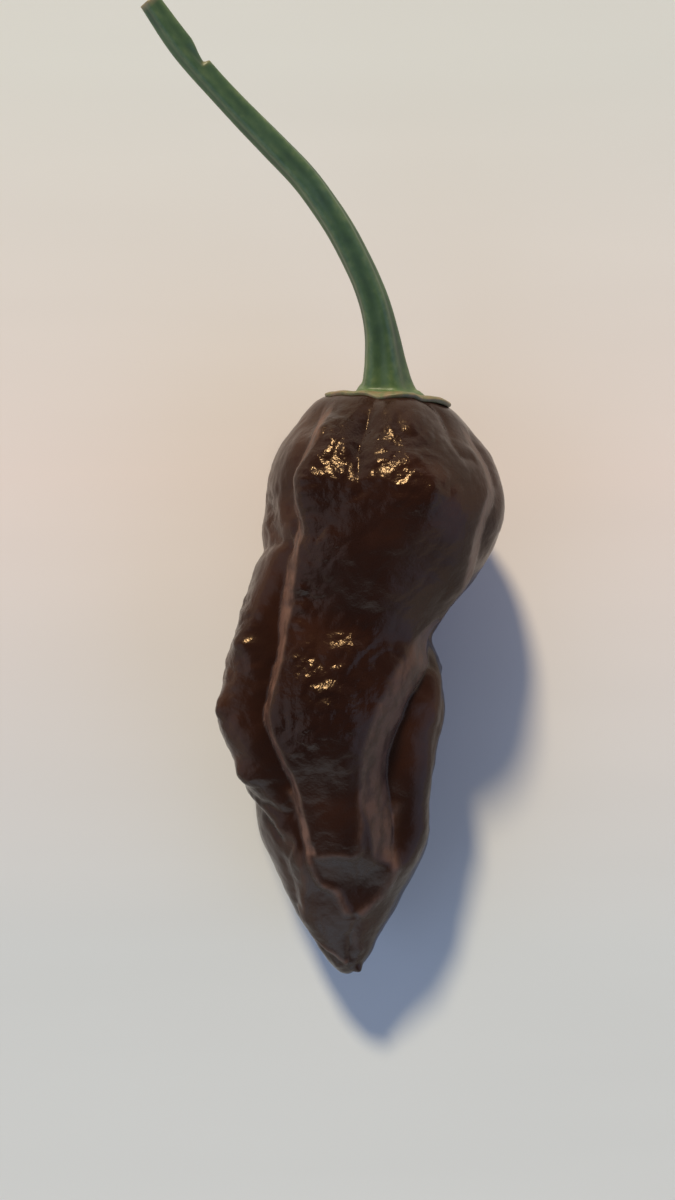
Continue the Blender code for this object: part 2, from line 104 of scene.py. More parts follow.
# The folds. Each path is (t, angle, depth in mm, width of its wall in mm). The wall is the side that
# climbs back to the full height of the skin, and "wall" names the hand it lies on for someone who
# walks along the path and looks at the skin from outside. "straight" is the share of the wall that is
# a straight slope before it rounds off. The other side climbs back by `bank` of the depth over
# `bank_width`, and then by the rest over `shelf`. The pale amount is how far the wall has its paler
# colour: partly the colour the skin has where it isn't stretched, and partly a painted reflection of the
# table, which the steep wall faces. "beads" are small puckers along the wall's upper edge:
# (first and last share of the path, height, spacing, distance from the fold, breadth), in mm.
FOLDS = (
    {   # the seam down the left of the middle lobe
        "path": (
            (0.010, 158, 0.1, 1.8), (0.040, 147, 0.4, 2.0), (0.077, 139, 0.7, 2.0),
            (0.130, 143, 0.8, 1.9), (0.180, 143, 0.8, 1.8), (0.223, 138, 0.9, 1.9),
            (0.260, 140, 0.9, 2.2), (0.300, 138, 1.0, 2.5), (0.376, 131, 1.2, 2.1),
            (0.424, 128, 1.3, 1.9), (0.508, 130, 1.3, 1.8), (0.590, 124, 1.4, 1.9),
            (0.677, 119, 1.2, 1.6), (0.740, 118, 0.8, 1.5), (0.780, 115, 0.4, 1.4),
        ),
        "wall": "left", "straight": 0.75, "bank": 0.9, "bank_width": 2.6, "shelf": 6.0, "pale_and_sheen": 1.0,
        "beads": (0.12, 0.62, 0.13, 1.55, 2.9, 1.0),
    },
    {   # the foot of the middle lobe's long wall on the right
        "path": (
            (0.020, 12, 0.2, 1.8), (0.058, 19, 0.5, 2.6), (0.110, 20, 0.6, 3.2),
            (0.152, 23, 0.7, 3.5), (0.200, 30, 0.8, 3.5), (0.247, 28, 0.8, 3.6),
            (0.280, 22, 0.8, 3.8), (0.320, 12, 0.9, 4.0), (0.380, 8, 1.1, 4.2),
            (0.420, 18, 1.3, 4.6), (0.460, 34, 1.5, 5.0), (0.506, 43, 1.7, 5.2),
            (0.612, 47, 1.8, 5.2), (0.690, 45, 1.8, 4.8), (0.750, 49, 1.5, 3.8),
            (0.795, 52, 0.9, 2.6),
        ),
        "wall": "right", "straight": 0.85, "bank": 0.75, "bank_width": 3.0, "shelf": 6.0, "pale_and_sheen": 0.8,
    },
    {   # across the left lobe, under its upper swelling
        "path": (
            (0.236, 138, 0.3, 2.0), (0.240, 150, 0.7, 2.4), (0.248, 168, 0.8, 2.8),
            (0.258, 188, 0.7, 3.0), (0.268, 210, 0.5, 3.0), (0.275, 232, 0.2, 3.0),
        ),
        "wall": "right", "straight": 0.6, "bank": 0.7, "bank_width": 2.0, "shelf": 4.5, "pale_and_sheen": 0.5,
    },
    {   # across the left lobe again, nearer the tip
        "path": (
            (0.690, 192, 0.3, 1.6), (0.690, 172, 0.6, 1.6), (0.698, 156, 0.7, 1.6),
            (0.716, 146, 0.7, 1.6), (0.738, 136, 0.6, 1.6), (0.750, 124, 0.4, 1.6),
        ),
        "wall": "left", "straight": 0.5, "bank": 0.5, "bank_width": 1.6, "shelf": 5.0, "pale_and_sheen": 0.4,
    },
    {   # where the middle lobe ends, above a pit
        "path": (
            (0.784, 116, 0.05, 1.8), (0.778, 104, 0.14, 1.8), (0.779, 92, 0.16, 1.8),
            (0.784, 80, 0.16, 1.8), (0.790, 68, 0.14, 1.8), (0.792, 56, 0.05, 1.8),
        ),
        "wall": "left", "straight": 0.1, "bank": 0.3, "bank_width": 2.0, "shelf": 4.5, "pale_and_sheen": 0.1,
    },
    {   # down the left of the tip
        "path": (
            (0.763, 140, 0.2, 1.6), (0.829, 142, 0.35, 1.6), (0.880, 152, 0.4, 1.4),
            (0.930, 152, 0.35, 1.2), (0.958, 126, 0.3, 1.0), (0.978, 92, 0.2, 1.0),
        ),
        "wall": "left", "straight": 0.5, "bank": 0.8, "bank_width": 1.6, "shelf": 4.0, "pale_and_sheen": 0.4,
    },
    {   # round the waist on the right, between the shoulder and the lower lobe
        "path": (
            (0.396, 12, 0.2, 2.0), (0.406, -4, 0.4, 2.0), (0.402, -26, 0.6, 2.4),
            (0.390, -50, 0.5, 2.6), (0.380, -70, 0.1, 2.6),
        ),
        "wall": "right", "straight": 0.4, "bank": 0.9, "bank_width": 2.0, "shelf": 4.0, "pale_and_sheen": 0.3,
    },
    {   # underneath, left of the middle
        "path": (
            (0.050, 225, 0.3, 2.6), (0.200, 232, 1.2, 2.8), (0.400, 236, 1.3, 2.8),
            (0.600, 232, 1.3, 2.6), (0.800, 236, 0.9, 2.2), (0.920, 230, 0.3, 1.6),
        ),
        "wall": "right", "straight": 0.5, "bank": 0.7, "bank_width": 2.8, "shelf": 6.0, "pale_and_sheen": 0.6,
    },
    {   # underneath, right of the middle
        "path": (
            (0.060, 300, 0.3, 2.6), (0.220, 304, 1.4, 2.8), (0.420, 300, 1.3, 2.8),
            (0.600, 306, 1.4, 2.6), (0.780, 302, 1.0, 2.2), (0.900, 310, 0.3, 1.6),
        ),
        "wall": "left", "straight": 0.5, "bank": 0.7, "bank_width": 2.8, "shelf": 6.0, "pale_and_sheen": 0.6,
    },
    {   # the second ridge of the shoulder's right side
        "path": (
            (0.014, 68, 0.1, 1.4), (0.016, 52, 0.25, 1.4), (0.025, 44, 0.35, 1.4),
            (0.042, 48, 0.35, 1.4), (0.061, 50, 0.35, 1.4), (0.080, 48, 0.3, 1.4),
            (0.088, 37, 0.15, 1.4),
        ),
        "wall": "right", "straight": 0.4, "bank": 0.8, "bank_width": 1.4, "shelf": 3.0, "pale_and_sheen": 0.5,
    },
    {   # the valley down the middle of the crown
        "path": (
            (0.010, 104, 0.3, 2.8), (0.035, 106, 0.7, 2.8), (0.069, 107, 0.9, 2.8),
            (0.100, 107, 0.8, 2.8), (0.130, 106, 0.5, 2.8), (0.170, 104, 0.1, 2.8),
        ),
        "wall": "right", "straight": 0.1, "bank": 1.0, "bank_width": 2.8, "shelf": 2.8, "pale_and_sheen": 0.0,
    },
    {   # a second leg of the fold across the left lobe
        "path": (
            (0.160, 178, 0.1, 1.6), (0.191, 167, 0.4, 1.6), (0.220, 158, 0.4, 1.6),
            (0.236, 149, 0.2, 1.6),
        ),
        "wall": "right", "straight": 0.3, "bank": 0.8, "bank_width": 1.6, "shelf": 3.0, "pale_and_sheen": 0.2,
    },
    {   # a finer crease above the left lobe's lower fold
        "path": (
            (0.655, 158, 0.1, 1.0), (0.671, 147, 0.3, 1.0), (0.688, 132, 0.3, 1.0),
            (0.698, 120, 0.1, 1.0),
        ),
        "wall": "left", "straight": 0.3, "bank": 0.8, "bank_width": 1.0, "shelf": 2.0, "pale_and_sheen": 0.2,
    },
    {   # the groove down the middle of the tip
        "path": (
            (0.884, 83, 0.1, 1.4), (0.916, 83, 0.35, 1.4), (0.957, 82, 0.25, 1.2),
            (0.972, 82, 0.1, 1.0),
        ),
        "wall": "right", "straight": 0.2, "bank": 0.9, "bank_width": 1.4, "shelf": 2.0, "pale_and_sheen": 0.1,
    },
    {   # the edge of the lower lobe on the right
        "path": (
            (0.429, 6, 0.05, 2.0), (0.473, 17, 0.15, 2.0), (0.519, 22, 0.2, 2.0),
            (0.576, 22, 0.2, 2.0), (0.628, 18, 0.15, 2.0), (0.687, 4, 0.05, 2.0),
        ),
        "wall": "left", "straight": 0.4, "bank": 0.7, "bank_width": 1.4, "shelf": 2.5, "pale_and_sheen": 0.5,
    },
)
# The thin raised lines: each has a path of (t, angle), a height and a half-width in mm, and how pale
# its crest is
RIDGES = (
    {   # from the seam down to the bottom of the pit
        "path": ((0.650, 122), (0.700, 117), (0.774, 114), (0.813, 110), (0.835, 96), (0.883, 84)),
        "height": 0.22, "breadth": 0.5, "pale_and_sheen": 0.9,
    },
    {   # the middle lobe's end, and on up the edge of its long wall
        "path": (
            (0.764, 114), (0.758, 98), (0.763, 86), (0.752, 81), (0.738, 80), (0.696, 76),
            (0.645, 73), (0.590, 72),
        ),
        "height": 0.14, "breadth": 0.45, "pale_and_sheen": 0.7,
    },
    {   # the pit's right side
        "path": ((0.670, 42), (0.720, 48), (0.770, 52), (0.818, 51), (0.848, 60), (0.880, 80)),
        "height": 0.22, "breadth": 0.8, "pale_and_sheen": 0.9,
    },
    {   # down the left of the tip and round its end
        "path": ((0.860, 146), (0.895, 148), (0.926, 146), (0.948, 123), (0.965, 104), (0.974, 80)),
        "height": 0.16, "breadth": 0.4, "pale_and_sheen": 1.0,
    },
    {   # left of the pit
        "path": ((0.715, 136), (0.734, 134), (0.764, 124), (0.820, 124), (0.875, 140), (0.900, 146)),
        "height": 0.12, "breadth": 0.6, "pale_and_sheen": 0.6,
    },
    {   # down the middle of the tip, from the pit
        "path": ((0.880, 84), (0.900, 84), (0.930, 70), (0.955, 50)),
        "height": 0.08, "breadth": 0.6, "pale_and_sheen": 0.4,
    },
)
NOISE_TABLE = 256  # how many slopes the noise is made of, a power of two
NOISE_GAIN = 1.6
FOLD_SAMPLES = 240  # along each path
FOLD_ENDS = 0.06  # the share of a path over which a fold fades in and out
# The folds' walls are pale partly in the skin's own colour and partly as a painted reflection of the
# table
FULLY_PALE_DEPTH = 0.5  # a fold at least this deep, in mm, has all of its pale colour
PALE_EDGES = (0.1, 0.8, 1.05)  # where along the wall the pale colour is full, starts to fade, and ends
RIDGE_REACH = 3  # how many of its breadths a ridge reaches to each side
WAVER = (0.30, 2.2, 21)  # how far folds waver from their paths in mm, over what size, and the seed
BEAD_DRIFT = (0.5, 3.0, 22)  # the same for the places of the beads
BEAD_CHANGE = (0.7, 2.0, 23)  # the same for their heights, as a share
BEAD_SHARPNESS = 1.5
BEADS_FADE = 0.05  # the share of a path over which its beads fade in and out

# The swellings and hollows, as (t, angle, height in mm, length in mm, breadth in mm)
SWELLINGS = (
    (0.16, 176, 0.5, 5.0, 5.0),
    (0.33, 168, 0.3, 6.0, 5.0),
    (0.52, 98, 1.1, 5.5, 5.0),
    (0.37, 95, -0.8, 4.6, 6.0),
    (0.55, 172, 0.4, 8.0, 6.0),
    (0.60, 10, 0.1, 8.0, 5.0),
    (0.26, 5, -0.3, 5.0, 5.0),
    (0.16, 10, 0.3, 7.0, 3.5),
    (0.155, 132, 1.4, 3.0, 2.6),
    (0.070, 132, 1.0, 2.4, 2.6),
    (0.140, 76, 0.9, 3.2, 3.2),
    (0.035, 78, 0.8, 2.4, 3.0),
    (0.41, 84, 0.4, 1.5, 2.2),
    (0.470, 2, -1.1, 4.0, 5.0),
    (0.815, 78, -0.40, 2.4, 2.2),
    (0.984, 44, 0.6, 0.5, 0.5),
    (0.412, 146, 0.75, 1.1, 1.2),
    (0.514, 152, 0.75, 1.1, 1.2),
    (0.622, 144, 0.75, 1.2, 1.4),
    (0.40, 148, 0.9, 4.0, 2.4),
    (0.51, 150, 0.9, 4.5, 2.4),
    (0.62, 145, 0.8, 4.5, 2.4),
    (0.52, 20, 1.0, 4.5, 2.4),
    (0.62, 22, 1.2, 4.5, 2.4),
    (0.71, 22, 0.8, 3.5, 2.2),
)
CROWN_RING = (1.3, 6.0, 3.0)  # the crown's flat rim: its height, its radius and its breadth in mm

# The skin's own unevenness: dents as (size in mm, height in mm, seed), puckers, which are domes with
# sharp creases between them, as the same, and fine wrinkles as (direction in degrees from +X towards
# +Y, spacing and length in mm, height in mm, seed)
BROAD_DENTS = (7.0, 0.40, 11)  # full everywhere
FINE_DENTS = (3.4, 0.24, 12)
PUCKERS = ((2.1, 0.36, 14), (1.2, 0.19, 15))
PUCKER_LEVEL = 0.3  # the share of a pucker's height that lies below the skin
WRINKLES = ((-33.0, 0.60, 1.8, 0.060, 16), (28.0, 0.60, 1.8, 0.060, 17))
WRINKLE_DRIFT = (0.5, 2.5)  # how far the wrinkles stray sideways, and over what size, in mm
CALM = 0.22  # the share of its fine dents and puckers that the skin has everywhere
CALM_WRINKLES = 0.1  # the same for its wrinkles
# Where it is crinkled most: (t, angle, radius in mm, which of the wrinkles run there)
CRINKLED = (
    (0.08, 118, 4.5, 0), (0.13, 115, 4.0, 0), (0.09, 82, 4.5, 0), (0.14, 78, 3.5, 0),
    (0.24, 122, 3.0, 0), (0.33, 118, 2.5, 0), (0.46, 108, 4.0, 1), (0.49, 90, 4.5, 1),
    (0.54, 106, 3.0, 1), (0.42, 82, 3.5, 1), (0.45, 152, 3.5, 1), (0.62, 150, 3.0, 1),
    (0.20, 163, 3.0, 1), (0.36, 160, 3.0, 1), (0.53, 160, 4.0, 1),
    (0.15, 240, 6.0, 0), (0.45, 265, 6.0, 1),
    (0.20, 320, 6.0, 0), (0.50, 340, 5.0, 1),
)
# Where the skin is paler and duller, as (t, angle, radius in mm, amount): partly its own matte patches,
# and partly painted sheen where the low sun lights the crown and the left lobe
BLOOM_AND_SHEEN = (
    (0.05, 168, 5.0, 0.60), (0.13, 188, 6.0, 0.55), (0.22, 180, 4.0, 0.45), (0.02, 75, 3.5, 0.35),
    (0.05, 46, 4.0, 0.35), (0.13, 12, 5.0, 0.35), (0.71, 166, 3.0, 0.35), (0.80, 140, 4.0, 0.15),
    (0.88, 140, 5.0, 0.14), (0.92, 83, 5.0, 0.14), (0.45, 163, 4.5, 0.35), (0.60, 158, 4.0, 0.30),
    (0.15, 250, 7.0, 0.40), (0.50, 240, 7.0, 0.30), (0.25, 330, 6.0, 0.35), (0.90, 270, 7.0, 0.45),
)
SMOOTH_CROWN = (5.5, 8.5)  # under the calyx, within these distances in mm, the skin is smooth

# The calyx, a thin saucer that follows the crown
CALYX_WALL = (0.40, 0.15, 1.6, 32)  # its thickness, and the unevenness of that: height, size, seed
CALYX_TUCK = 0.25  # how far its underside reaches into the skin
CALYX_CONE = 0.6  # how far its middle rises towards the stem
CALYX_CONE_END = 0.78  # the share of the radius at which that rise ends
CALYX_TURN = 0.02  # rise per unit towards +X
CALYX_TEETH = 5
CALYX_TOOTH_ANGLE = 18  # where the first tooth points
CALYX_NOTCH = 0.4  # how far the rim draws in between the teeth
CALYX_RIM = (0.25, 2.2, 31)  # the rim's unevenness
CALYX_CURL = (0.25, 3.0, 33)  # how far the rim lifts, and how unevenly
CALYX_CURL_START = 0.75
CALYX_NOISE_RADIUS = 6  # the unevenness is read off a circle of this radius
CALYX_FULLNESS = 0.8  # below 1 its rings lie closer to its rim
CALYX_EDGE_SQUARENESS = 0.35  # below 1 its rim is blunt, like a slab's
CALYX_DRY_RIM = (0.72, 0.95)  # the shares of the radius where it starts to look dry, and is dry
CALYX_DRY_CHANGE = 0.12

# The stem's route from its foot, in mm, square to the crown it grows from: across towards +X, out
# from the crown, and up
STEM_ROUTE = (
    (0.0, 0.0, 0.0), (-0.1, 1.0, 0.0), (-0.2, 2.0, 0.2), (-0.6, 4.1, 0.9), (-1.2, 6.7, 2.0),
    (-2.1, 9.3, 3.1), (-3.3, 11.7, 4.0), (-4.7, 13.9, 4.9), (-6.2, 16.0, 5.8), (-7.9, 18.0, 6.7),
    (-10.4, 20.5, 8.1), (-13.5, 22.9, 9.4), (-16.6, 25.2, 10.8), (-19.4, 27.4, 12.0),
    (-21.3, 29.0, 12.8), (-23.1, 30.7, 13.6), (-25.5, 33.3, 14.8),
)
# Its thickness, as (share of the route, share of STEM_DIAMETER)
STEM_TAPER = (
    (0.00, 2.15), (0.05, 1.85), (0.085, 1.61), (0.115, 1.46), (0.16, 1.28), (0.25, 1.10),
    (0.40, 1.01), (0.65, 0.93), (0.80, 0.84), (0.90, 0.84), (1.00, 0.70),
)
# Where one length of the stem grows out of the other, on its right: the share of the route, how deep
# the ledge is as a share of the radius, and over what share of the route the stem fills out again
STEM_JOINT = 0.845
STEM_LEDGE = 0.62
STEM_LEDGE_RUN = 0.055
STEM_LEDGE_EDGE = 0.003  # the share of the route over which the ledge drops, to each side
STEM_DRY_SPOT = 0.006  # the share of the route that is dry at the ledge
STEM_DRY_END = 0.985  # from here on its torn end is dry
STEM_FLARE_END = 0.06
STEM_RIBS = 5
STEM_RIB = 0.085  # how far its ribs stand out, as a share of its radius
STEM_TWIST = 3  # how far the ribs turn round it along the route: 5 ribs, so 3/5 of a radian
STEM_YOUNG = (0.45, 0.15)  # its foot is paler by this much, as far as this share of the route
STEM_SEAT = 0.35  # how far its foot stands above the skin

# Colours. A ramp is (place on the pattern from 0 to 1, colour) from its first colour to its last.
POD_BROWNS = (
    (0.32, (0.015, 0.0055, 0.0040)), (0.55, (0.023, 0.0080, 0.0050)),
    (0.72, (0.038, 0.0130, 0.007)),
)
# The skin's paler colours, for fold walls, ridge crests and bloom patches: partly its own, partly painted
# reflection and sheen
POD_PALES_AND_SHEEN = (
    (0.0, (0.030, 0.016, 0.011)), (0.5, (0.062, 0.031, 0.021)), (1.0, (0.130, 0.067, 0.047)),
)
POD_MOTTLE = ((0.36, (0.60, 0.60, 0.60)), (0.56, (1.0, 1.0, 1.0)))
POD_GLOSS = ((0.3, (0.16, 0.16, 0.16)), (0.7, (0.23, 0.23, 0.23)))  # roughness where it is stretched
POD_DULL = (0.46, 0.46, 0.46)  # roughness where it is pale
POD_IOR = 1.36
POD_SHEEN = (1.0, 0.70, 0.44, 1)  # the colour of its reflections
LEVEL = (0.5, 0.5, 0.5)  # a bump pattern's middle
CALYX_GREENS = (
    (0.35, (0.060, 0.095, 0.026)), (0.50, (0.085, 0.115, 0.034)), (0.68, (0.13, 0.12, 0.045)),
)
CALYX_DRIES = (
    (0.35, (0.120, 0.130, 0.048)), (0.52, (0.175, 0.145, 0.064)), (0.68, (0.23, 0.150, 0.080)),
)
CALYX_ROUGHNESS = 0.5
# The stem's greens: darker in the furrows between its ribs as painted shade, lighter on their crests as
# painted light
SHADED_FURROW_GREENS = (
    (0.30, (0.034, 0.066, 0.022)), (0.50, (0.048, 0.090, 0.028)), (0.72, (0.074, 0.124, 0.038)),
)
LIT_CREST_GREENS = (
    (0.30, (0.056, 0.102, 0.032)), (0.50, (0.078, 0.132, 0.042)), (0.72, (0.125, 0.172, 0.056)),
)
STEM_DRY = (0.26, 0.20, 0.095)
STEM_ROUGHNESS = 0.45
FLOOR_STREAKS = ((0.35, (0.98, 0.98, 0.98)), (0.65, (1.0, 1.0, 1.0)))
# The table's painted light: darker and cooler towards -Y, warmer in the middle, paler again towards +Y
FLOOR_PAINTED_LIGHT = (
    (0.15, (0.645, 0.675, 0.670)), (0.55, (0.815, 0.725, 0.672)), (0.90, (0.725, 0.730, 0.675)),
)
FLOOR_ROUGHNESS = 0.55
FLOOR_SHINE = 0.2

# The camera looks straight down, from over a point this far from the middle of the pod's box, in mm
CAMERA_FROM_POD = (-2.42, 9.75)
CAMERA_HEIGHT = 137.4
CAMERA_LENS = 34.6
CAMERA_SENSOR = 36.0
CAMERA_NEAR = 5.0  # nothing nearer than this is seen

# The light, with the direction from the pod to the sun
SUN_TOWARDS = (-0.40, 1.28, 1.00)
SUN_COLOUR = (1.0, 0.857, 0.602)
SUN_STRENGTH = 3.32
SUN_ANGLE = math.radians(7.5)
FLOOR_SIZE = 3000.0
# How far the table's painted light reaches
FLOOR_PAINTED_LIGHT_REACH = 70.0  # its colour changes a little between this far towards -Y and towards +Y
# The room's light as (height above the horizon as a share, colour), and its soft windows, as
# (direction, inner and outer half-angle in degrees, colour)
ROOM = (
    (0.00, (0.92, 0.87, 0.83)), (0.12, (0.86, 0.86, 0.92)), (0.26, (0.58, 0.62, 0.76)),
    (0.42, (0.30, 0.33, 0.41)), (0.62, (0.15, 0.16, 0.20)), (1.00, (0.085, 0.085, 0.09)),
)
SOFT_WINDOWS = (
    ((0.80, -0.38, 0.46), 12, 34, (0.58, 0.78, 1.40)),
    ((-0.80, -0.20, 0.52), 10, 34, (0.68, 0.86, 1.32)),
    ((-0.10, -0.97, 0.16), 10, 32, (1.05, 1.35, 1.85)),
)


# ---------------------------------------------------------------- shaping tools


def through(knots, at):
    """Values at `at` of a smooth curve through the (place, value, ...) knots."""
    places, *columns = np.array(knots, float).T
    at = np.clip(np.asarray(at, float), places[0], places[-1])
    i = np.clip(np.searchsorted(places, at, side="right") - 1, 0, len(places) - 2)
    step = places[i + 1] - places[i]
    u = (at - places[i]) / step
    results = []
    for values in columns:
        slopes = np.gradient(values, places)
        results.append(
            values[i] * (1 + 2 * u) * (1 - u) ** 2
            + slopes[i] * step * u * (1 - u) ** 2
            + values[i + 1] * u**2 * (3 - 2 * u)
            - slopes[i + 1] * step * u**2 * (1 - u)
        )
    return results[0] if len(results) == 1 else results


def smoothstep(low, high, value):
    """Climbs smoothly from 0 at `low` to 1 at `high`."""
    u = np.clip((value - low) / (high - low), 0, 1)
    return u * u * (3 - 2 * u)


def ramp(share, straight=0.3):
    """Climbs from 0 in a straight slope for the `straight` share, then rounds off level at 1."""
    share = np.clip(share, 0, 1)
    slope = 2 / (1 + straight)
    rounding = np.maximum(share - straight, 0) ** 2 * slope / (2 * (1 - straight))
    return slope * share - rounding


def unit(vectors):
    return vectors / np.linalg.norm(vectors, axis=-1, keepdims=True)


def noise(points, size, seed):
    """Smooth noise, mostly between -1 and 1, whose bumps are about `size` mm across."""
    rng = np.random.default_rng(seed)
    slopes = unit(rng.normal(size=(NOISE_TABLE, 3)))
    order = rng.permutation(NOISE_TABLE)
    scaled = points / size
    cell = np.floor(scaled).astype(int)
    within = scaled - cell
    fade = within**3 * (within * (within * 6 - 15) + 10)
    total = np.zeros(len(points))
    last = NOISE_TABLE - 1
    for corner in np.ndindex(2, 2, 2):
        x, y, z = (cell + corner).T
        slope = slopes[order[(order[(order[x & last] + y) & last] + z) & last]]
        weight = np.prod(np.where(corner, fade, 1 - fade), axis=1)
        total += weight * (slope * (within - corner)).sum(axis=1)
    return NOISE_GAIN * total


# ---------------------------------------------------------------- the pod's skin


def closing(t):
    """The size of the section at t as a share of its full size, less than 1 at the two ends."""
    crown = np.clip(1 - t / SHOULDER_END, 0, 1)
    tip = np.clip((t - TIP_START) / (1 - TIP_START), 0, 1)
    at_crown = (1 - crown**SHOULDER_POWER) ** (1 / SHOULDER_POWER)
    return at_crown * (1 - tip**TIP_POWER) ** (1 / TIP_POWER)


def crown_place(radius):
    """The t at which the crown is `radius` mm across from its middle."""
    share = radius / (POD_WIDTH * HALF_WIDTH[0][1])
    return SHOULDER_END * (1 - (1 - share**SHOULDER_POWER) ** (1 / SHOULDER_POWER))


def envelope(t, angle):
    """Points of the pod's smooth outer form, before its folds."""
    a = np.radians(angle)
    across = POD_WIDTH * through(HALF_WIDTH, t) * closing(t) * np.cos(a)
    up = POD_HEIGHT * through(HALF_HEIGHT, t) * closing(t) * np.sin(a)
    tilted = 1 - smoothstep(0, LEAN_END, t)
    along = -POD_LENGTH * t - tilted * (LEAN * across + PITCH * up)
    x = POD_WIDTH * through(MIDDLE_X, t) + across
    z = POD_HEIGHT * through(MIDDLE_Z, t) + up
    return np.stack([x, along, z], axis=-1)


def outwards(t, angle):
    """Unit normals of the envelope."""
    small_t, small_angle = 1e-4, 0.05
    t = np.clip(t, 3 * small_t, 1 - 3 * small_t)
    along = envelope(t + small_t, angle) - envelope(t - small_t, angle)
    around = envelope(t, angle + small_angle) - envelope(t, angle - small_angle)
    return unit(np.cross(around, along))


def beside(path, places, reach):
    """How `places` lie beside a path of (t, angle): which of them are near it, and for those their
    share of the way along it, their distance from it in mm, whether they are on its left, and the
    path's own length in mm."""
    along_path = np.linspace(0, 1, FOLD_SAMPLES)
    shares = np.linspace(0, 1, len(path))
    t, angle = through(np.column_stack([shares, path]), along_path)
    line = envelope(t, angle)
    tangent = unit(np.gradient(line, axis=0))
    to_left = np.cross(outwards(t, angle), tangent)
    near = np.all((places > line.min(0) - reach) & (places < line.max(0) + reach), axis=1)
    spots = places[near]
    squares = (line**2).sum(1)[None] - 2 * spots @ line.T
    nearest = np.argmin(squares, axis=1)
    offset = spots - line[nearest]
    beyond = (offset * tangent[nearest]).sum(-1)
    step = np.linalg.norm(np.diff(line, axis=0), axis=1).mean()
    share = (nearest + np.clip(beyond / step, -0.5, 0.5)) / (FOLD_SAMPLES - 1)
    offset -= beyond[:, None] * tangent[nearest]
    on_left = (offset * to_left[nearest]).sum(-1) > 0
    return near, share, np.linalg.norm(offset, axis=-1), on_left, step * (FOLD_SAMPLES - 1)


def fading_ends(share):
    """1 along a path, and falling to 0 towards both of its ends."""
    return smoothstep(0, FOLD_ENDS, share) * smoothstep(0, FOLD_ENDS, 1 - share)


def fold_relief(fold, places):
    """How far, in mm, one fold moves the skin at the envelope points `places`, and how pale it is: the
    wall's paler colour is partly the skin's own and partly a painted reflection of the table.
    """
    path = np.array(fold["path"], float)
    reach = max(path[:, 3].max(), fold["shelf"]) + 1
    near, share, distance, on_left, length = beside(path[:, :2], places, reach)
    on_wall = on_left if fold["wall"] == "left" else ~on_left
    knots = np.column_stack([np.linspace(0, 1, len(path)), path[:, 2:]])
    deep, wall = through(knots, share)
    deep = deep * fading_ends(share)

    bank = fold["bank"]
    across_wall = distance / wall
    wall_side = 1 - ramp(across_wall, fold["straight"])
    bank_side = bank * (1 - ramp(distance / fold["bank_width"]))
    bank_side += (1 - bank) * (1 - smoothstep(0, fold["shelf"], distance))
    height, pale_and_sheen = np.zeros(len(places)), np.zeros(len(places))
    height[near] = -deep * np.where(on_wall, wall_side, bank_side)
    full, fading, gone = PALE_EDGES
    on_slope = smoothstep(0, full, across_wall) * (1 - smoothstep(fading, gone, across_wall))
    # The wall's paler colour: partly the skin's own, partly a painted reflection of the table on the
    # steep wall
    pale_and_sheen[near] = fold["pale_and_sheen"] * smoothstep(0, FULLY_PALE_DEPTH, deep) * on_wall * on_slope
    if "beads" in fold:
        bead, middle, breadth = bead_heights(fold["beads"], places[near], share, length)
        height[near] += on_wall * bead * np.exp(-(((distance - middle) / breadth) ** 2))
    return height, pale_and_sheen


def bead_heights(beads, spots, share, length):
    """How high the beads stand at `spots`, how far from the fold they are, and their breadth."""
    first, last, tall, spacing, middle, breadth = beads
    drift, size, seed = BEAD_DRIFT
    run = share * length + drift * noise(spots, size, seed)
    bead = tall * (0.5 + 0.5 * np.cos(2 * math.pi * run / spacing)) ** BEAD_SHARPNESS
    bead *= smoothstep(first, first + BEADS_FADE, share)
    bead *= smoothstep(1 - last, 1 - last + BEADS_FADE, 1 - share)
    change, size, seed = BEAD_CHANGE
    bead *= 1 + change * noise(spots, size, seed)
    return bead, middle, breadth


def ridge_relief(ridge, places):
    """The same for a thin raised line."""
    breadth = ridge["breadth"]
    path = np.array(ridge["path"], float)
    near, share, distance, _, _ = beside(path, places, RIDGE_REACH * breadth)
    crest = fading_ends(share) * np.exp(-((distance / breadth) ** 2))
    height, pale_and_sheen = np.zeros(len(places)), np.zeros(len(places))
    height[near] = ridge["height"] * crest
    pale_and_sheen[near] = ridge["pale_and_sheen"] * crest
    return height, pale_and_sheen


def centre_of(t, angle):
    """One point of the envelope."""
    return envelope(np.array([t]), np.array([angle]))


def distance_from(places, t, angle):
    """How far `places` are from one point of the envelope, in mm."""
    return np.linalg.norm(places - centre_of(t, angle), axis=1)


def crinkles(places):
    """How strongly each of the wrinkles runs at `places`, from 0 to 1."""
    strength = np.zeros((len(WRINKLES), len(places)))
    for t, angle, radius, which in CRINKLED:
        away = distance_from(places, t, angle)
        strength[which] = np.maximum(strength[which], np.exp(-((away / radius) ** 2)))
    return strength


def unevenness(places):
    """The skin's dents, puckers and fine wrinkles, in mm."""
    crinkled = crinkles(places)
    lively = CALM + (1 - CALM) * crinkled.max(axis=0)
    size, tall, seed = BROAD_DENTS
    height = tall * noise(places, size, seed)
    size, tall, seed = FINE_DENTS
    height += tall * lively * noise(places, size, seed)
    for size, tall, seed in PUCKERS:
        height += tall * lively * (np.abs(noise(places, size, seed)) - PUCKER_LEVEL)
    drift, drift_size = WRINKLE_DRIFT
    for patch, (direction, spacing, length, tall, seed) in zip(crinkled, WRINKLES):
        a = math.radians(direction)
        along = places @ np.array([math.cos(a), math.sin(a), 0.0])
        across = places @ np.array([-math.sin(a), math.cos(a), 0.0])
        across += drift * noise(places, drift_size, seed + 10)
        shrink = spacing / length
        bent = np.column_stack([along * shrink, across, places[:, 2] * shrink])
        height += tall * (CALM_WRINKLES + (1 - CALM_WRINKLES) * patch) * noise(bent, spacing, seed)
    return height * smoothstep(*SMOOTH_CROWN, distance_from(places, 0.0, 90.0))


